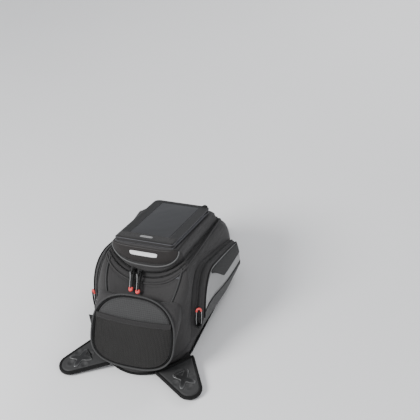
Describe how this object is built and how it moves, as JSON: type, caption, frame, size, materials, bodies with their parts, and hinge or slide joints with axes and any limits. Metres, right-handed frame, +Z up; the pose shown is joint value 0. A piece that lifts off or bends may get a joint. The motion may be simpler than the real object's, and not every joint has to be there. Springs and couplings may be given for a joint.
{
  "type": "motorcycle tank bag",
  "caption": "Magnetic motorcycle tank bag: domed zip-open lid with a clear-window phone holder, rounded mesh front pocket, zipped side pockets and flexible magnetic mounting flaps.",
  "frame": {"origin": "middle of the overall bounding box in plan, at the underside of the base, which is the plane the bag stands on", "axes": "+X to the rider's right, +Y forward along the tank to the windscreen, +Z up from the base"},
  "size_m": [0.266, 0.4311, 0.1986],
  "materials": {
    "shell_fabric": "dense woven synthetic, matt, lightly crinkled",
    "ripstop_fabric": "fine ripstop weave, slight sheen",
    "mesh_fabric": "open knitted mesh with fine vertical ribs",
    "silver_fabric": "smooth silver-grey reflective fabric",
    "patch_fabric": "heavy dark ripstop",
    "lid_panel_skin": "smooth rubberised skin, satin",
    "piping_cord": "round woven piping",
    "binding_tape": "ribbed black binding tape",
    "zip_coil": "moulded spiral zip teeth",
    "zip_metal": "black enamelled casting",
    "pull_cord": "black cord with a moulded coral-red end",
    "emblem_rubber": "raised pale moulding, plain bars",
    "window_film": "clear glossy film over a dark lining",
    "holder_skin": "smooth black coated fabric",
    "base_rubber": "grippy moulded sheet with fine grain",
    "flap_rubber": "soft embossed rubberised fabric",
    "stiff_board": "flat stiffener board",
    "magnet_metal": "plated round magnet",
    "foam_pad": "thin soft spacer pad"
  },
  "bodies": {
    "bag": {"base_pad": "base_rubber", "base_board": "stiff_board", "base_welt": "binding_tape", "body_shell": "shell_fabric", "body_zip": "zip_coil", "seam_piping_left": "piping_cord", "seam_piping_right": "piping_cord", "front_pocket": "ripstop_fabric", "front_pocket_piping": "piping_cord", "front_mesh": "mesh_fabric", "front_mesh_hem": "binding_tape", "side_pocket_left": "shell_fabric", "side_pocket_right": "shell_fabric", "side_panel_left": "silver_fabric", "side_panel_right": "silver_fabric", "side_patch_left": "patch_fabric", "side_patch_right": "patch_fabric", "side_piping_left": "piping_cord", "side_piping_right": "piping_cord", "side_zip_left": "zip_coil", "side_zip_right": "zip_coil", "side_tag": "binding_tape", "lid_hinge_strip": "binding_tape"},
    "lid": {"lid_shell": "shell_fabric", "lid_front_panel": "lid_panel_skin", "lid_emblem": "emblem_rubber", "lid_piping": "piping_cord", "lid_zip": "zip_coil", "holder_pads": "foam_pad", "holder_hinge_strip": "binding_tape"},
    "phone_holder": {"holder_back": "holder_skin", "holder_edge": "binding_tape", "holder_frame": "holder_skin", "holder_window": "window_film", "holder_band": "holder_skin"},
    "zip_slider_left": {"zip_slider_left": "zip_metal"},
    "zip_pull_left": {"zip_pull_left": "pull_cord"},
    "side_slider_left": {"side_slider_left": "zip_metal"},
    "side_pull_left": {"side_pull_left": "pull_cord"},
    "rear_flap_left": {"rear_flap_left": "flap_rubber", "rear_binding_left": "binding_tape", "rear_ridge_left": "flap_rubber", "rear_magnet_left": "magnet_metal"},
    "front_flap_left": {"front_flap_left": "flap_rubber", "front_binding_left": "binding_tape", "front_ridge_left": "flap_rubber", "front_magnet_left": "magnet_metal"},
    "zip_slider_right": {"zip_slider_right": "zip_metal"},
    "zip_pull_right": {"zip_pull_right": "pull_cord"},
    "side_slider_right": {"side_slider_right": "zip_metal"},
    "side_pull_right": {"side_pull_right": "pull_cord"},
    "rear_flap_right": {"rear_flap_right": "flap_rubber", "rear_binding_right": "binding_tape", "rear_ridge_right": "flap_rubber", "rear_magnet_right": "magnet_metal"},
    "front_flap_right": {"front_flap_right": "flap_rubber", "front_binding_right": "binding_tape", "front_ridge_right": "flap_rubber", "front_magnet_right": "magnet_metal"}
  },
  "joints": [
    {"name": "lid_open", "type": "hinge", "parent": "bag", "child": "lid", "pos_m": [0, 0.1183, 0.1166], "axis": [-1, 0, 0], "range_deg": [0, 95], "deforming": ["lid_hinge_strip"]},
    {"name": "holder_lift", "type": "hinge", "parent": "lid", "child": "phone_holder", "pos_m": [0, 0.11104, 0.13572], "axis": [-1, 0, 0], "range_deg": [0, 75], "deforming": ["holder_hinge_strip"]},
    {"name": "zip_travel_left", "type": "hinge", "parent": "lid", "child": "zip_slider_left", "pos_m": [0, -0.0192, 0.20446], "axis": [0, -0.8171, 0.5764], "range_deg": [-20, 0]},
    {"name": "zip_travel_right", "type": "hinge", "parent": "lid", "child": "zip_slider_right", "pos_m": [0, -0.0192, 0.20446], "axis": [0, -0.8171, 0.5764], "range_deg": [0, 30]},
    {"name": "zip_pull_swing_left", "type": "hinge", "parent": "zip_slider_left", "child": "zip_pull_left", "pos_m": [-0.022, -0.07388, 0.14256], "axis": [-0.9833, -0.1822, 0], "range_deg": [0, 80]},
    {"name": "zip_pull_swing_right", "type": "hinge", "parent": "zip_slider_right", "child": "zip_pull_right", "pos_m": [-0.00888, -0.07529, 0.14057], "axis": [-0.9833, -0.1822, 0], "range_deg": [0, 80]},
    {"name": "side_zip_travel_right", "type": "slide", "parent": "bag", "child": "side_slider_right", "axis": [0.0538, 0.2101, 0.9762], "range_m": [0, 0.025]},
    {"name": "side_pull_swing_right", "type": "hinge", "parent": "side_slider_right", "child": "side_pull_right", "pos_m": [0.09771, -0.0969, 0.0557], "axis": [0.8054, 0.5688, -0.1668], "range_deg": [0, 150]},
    {"name": "side_zip_travel_left", "type": "slide", "parent": "bag", "child": "side_slider_left", "axis": [-0.0538, 0.2101, 0.9762], "range_m": [0, 0.025]},
    {"name": "side_pull_swing_left", "type": "hinge", "parent": "side_slider_left", "child": "side_pull_left", "pos_m": [-0.09771, -0.0969, 0.0557], "axis": [0.8054, -0.5688, 0.1668], "range_deg": [0, 150]},
    {"name": "rear_flap_fold_left", "type": "hinge", "parent": "bag", "child": "rear_flap_left", "pos_m": [-0.067, -0.1511, 0.0112], "axis": [-0.6947, 0.7193, 0], "range_deg": [-40, 35]},
    {"name": "front_flap_fold_left", "type": "hinge", "parent": "bag", "child": "front_flap_left", "pos_m": [-0.0305, 0.143, 0.0112], "axis": [0.9903, -0.1392, 0], "range_deg": [-40, 60]},
    {"name": "rear_flap_fold_right", "type": "hinge", "parent": "bag", "child": "rear_flap_right", "pos_m": [0.067, -0.1511, 0.0112], "axis": [-0.6947, -0.7193, 0], "range_deg": [-40, 35]},
    {"name": "front_flap_fold_right", "type": "hinge", "parent": "bag", "child": "front_flap_right", "pos_m": [0.0305, 0.143, 0.0112], "axis": [0.9903, 0.1392, 0], "range_deg": [-40, 60]}
  ]
}
